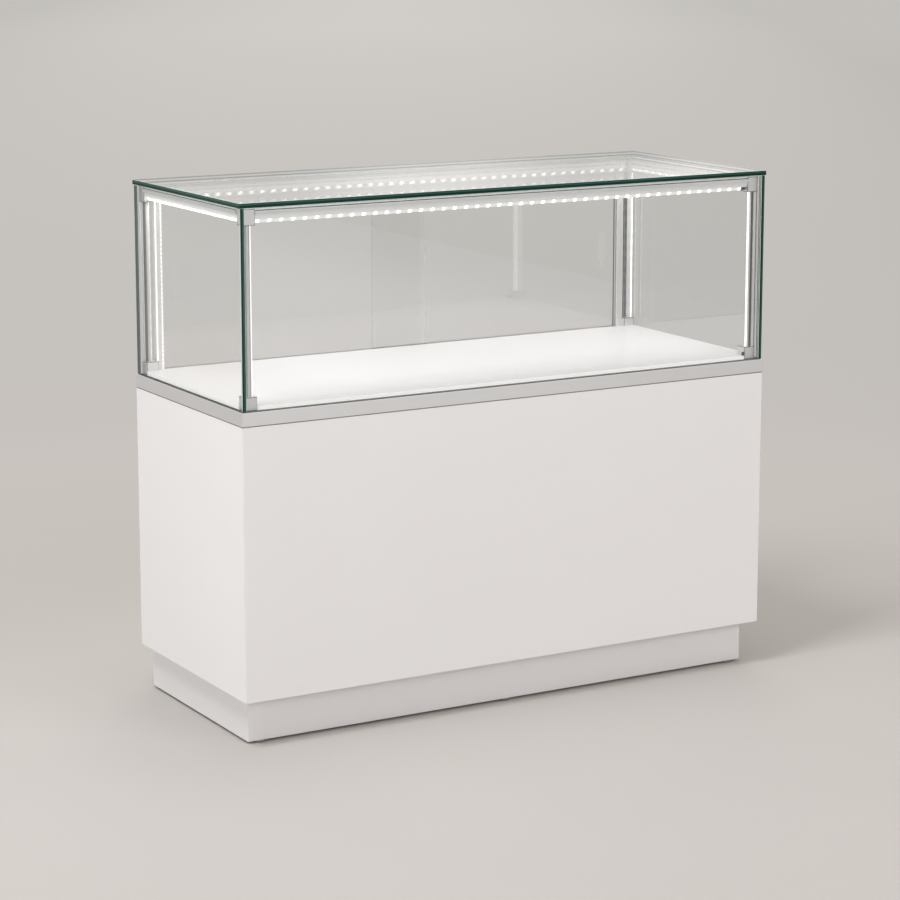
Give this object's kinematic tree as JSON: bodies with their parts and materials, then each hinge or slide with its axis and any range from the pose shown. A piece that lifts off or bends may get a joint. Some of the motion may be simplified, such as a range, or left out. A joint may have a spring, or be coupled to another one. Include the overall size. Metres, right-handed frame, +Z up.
{
  "type": "pedestal display case",
  "caption": "Lit glass display case with sliding rear doors on a closed white storage cabinet with rear doors and a recessed plinth.",
  "frame": {"origin": "on the floor, under the middle of the case", "axes": "+X to the right as seen from the front, +Y from the front to the rear, +Z up"},
  "size_m": [1.2, 0.49, 1.05],
  "materials": {
    "white_board_finish": "satin white laminate on board",
    "plinth_finish": "satin white laminate on board",
    "inner_board_finish": "matt white laminate on board",
    "deck_gloss": "white gloss laminate on board",
    "band_aluminium": "satin anodised",
    "frame_aluminium": "satin anodised",
    "track_aluminium": "satin anodised",
    "clear_glass": "float glass with polished dark green edges",
    "door_glass": "thin float glass with polished green edges",
    "seal_rubber": "dark soft seal",
    "gasket_clear": "clear soft strip",
    "opal_cover": "opal, lit from behind",
    "light_strip": "white strip with lit points",
    "black_plastic": "fine textured black",
    "lead_sheath": "black sheath",
    "nylon_shoe": "natural nylon",
    "pull_steel": "satin nickel",
    "lock_metal": "nickel plated",
    "pin_steel": "zinc plated",
    "glide_plastic": "grey moulded",
    "driver_case": "white moulded"
  },
  "bodies": {
    "case": {"band_front": "band_aluminium", "band_left": "band_aluminium", "band_rear": "band_aluminium", "band_right": "band_aluminium", "base_blocks": "frame_aluminium", "base_seals": "seal_rubber", "cabinet_floor": "inner_board_finish", "cabinet_top": "inner_board_finish", "centre_divider": "inner_board_finish", "deck_panel": "deck_gloss", "door_stop_rails": "inner_board_finish", "door_tracks": "track_aluminium", "end_channels": "track_aluminium", "foot_glides": "glide_plastic", "front_panel": "white_board_finish", "glass_front": "clear_glass", "glass_left": "clear_glass", "glass_right": "clear_glass", "glass_top": "clear_glass", "glazing_tape": "gasket_clear", "internal_leads": "lead_sheath", "light_driver": "driver_case", "light_plugs": "black_plastic", "pivot_pins": "pin_steel", "plinth_braces": "inner_board_finish", "plinth_front": "plinth_finish", "plinth_left": "plinth_finish", "plinth_rear": "plinth_finish", "plinth_right": "plinth_finish", "post_front_left": "frame_aluminium", "post_front_right": "frame_aluminium", "post_light_covers": "opal_cover", "post_light_strips": "light_strip", "post_rear_left": "frame_aluminium", "post_rear_right": "frame_aluminium", "power_inlet": "black_plastic", "rail_front": "frame_aluminium", "rail_left": "frame_aluminium", "rail_light_strips": "light_strip", "rail_rear": "frame_aluminium", "rail_right": "frame_aluminium", "shelf_pins": "pin_steel", "shelves": "inner_board_finish", "side_panel_left": "white_board_finish", "side_panel_right": "white_board_finish", "top_blocks": "frame_aluminium", "top_gaskets": "gasket_clear"},
    "sliding_glass_left": {"sliding_glass_left": "door_glass", "door_shoes_left": "nylon_shoe"},
    "sliding_glass_right": {"sliding_glass_right": "door_glass", "door_shoes_right": "nylon_shoe"},
    "storage_door_left": {"storage_door_left": "white_board_finish", "flush_pull_left": "pull_steel", "lock_barrel_left": "lock_metal"},
    "storage_door_right": {"storage_door_right": "white_board_finish", "flush_pull_right": "pull_steel", "lock_barrel_right": "lock_metal"},
    "lock_cam_left": {"lock_cam_left": "lock_metal"},
    "lock_cam_right": {"lock_cam_right": "lock_metal"},
    "switch_rocker": {"switch_rocker": "black_plastic"}
  },
  "joints": [
    {"name": "slide_left_door", "type": "slide", "parent": "case", "child": "sliding_glass_left", "axis": [1, 0, 0], "range_m": [0, 0.495]},
    {"name": "slide_right_door", "type": "slide", "parent": "case", "child": "sliding_glass_right", "axis": [-1, 0, 0], "range_m": [0, 0.495]},
    {"name": "swing_left_door", "type": "hinge", "parent": "case", "child": "storage_door_left", "pos_m": [-0.557, 0.232, 0.3605], "axis": [0, 0, 1], "range_deg": [0, 110]},
    {"name": "swing_right_door", "type": "hinge", "parent": "case", "child": "storage_door_right", "pos_m": [0.557, 0.232, 0.3605], "axis": [0, 0, -1], "range_deg": [0, 110]},
    {"name": "turn_left_lock", "type": "hinge", "parent": "storage_door_left", "child": "lock_cam_left", "pos_m": [-0.0465, 0.232, 0.552], "axis": [0, 1, 0], "range_deg": [0, 90]},
    {"name": "turn_right_lock", "type": "hinge", "parent": "storage_door_right", "child": "lock_cam_right", "pos_m": [0.0465, 0.232, 0.552], "axis": [0, -1, 0], "range_deg": [0, 90]},
    {"name": "tip_rocker", "type": "hinge", "parent": "case", "child": "switch_rocker", "pos_m": [0.4533, 0.235, 0.069], "axis": [-1, 0, 0], "range_deg": [0, 14]}
  ]
}
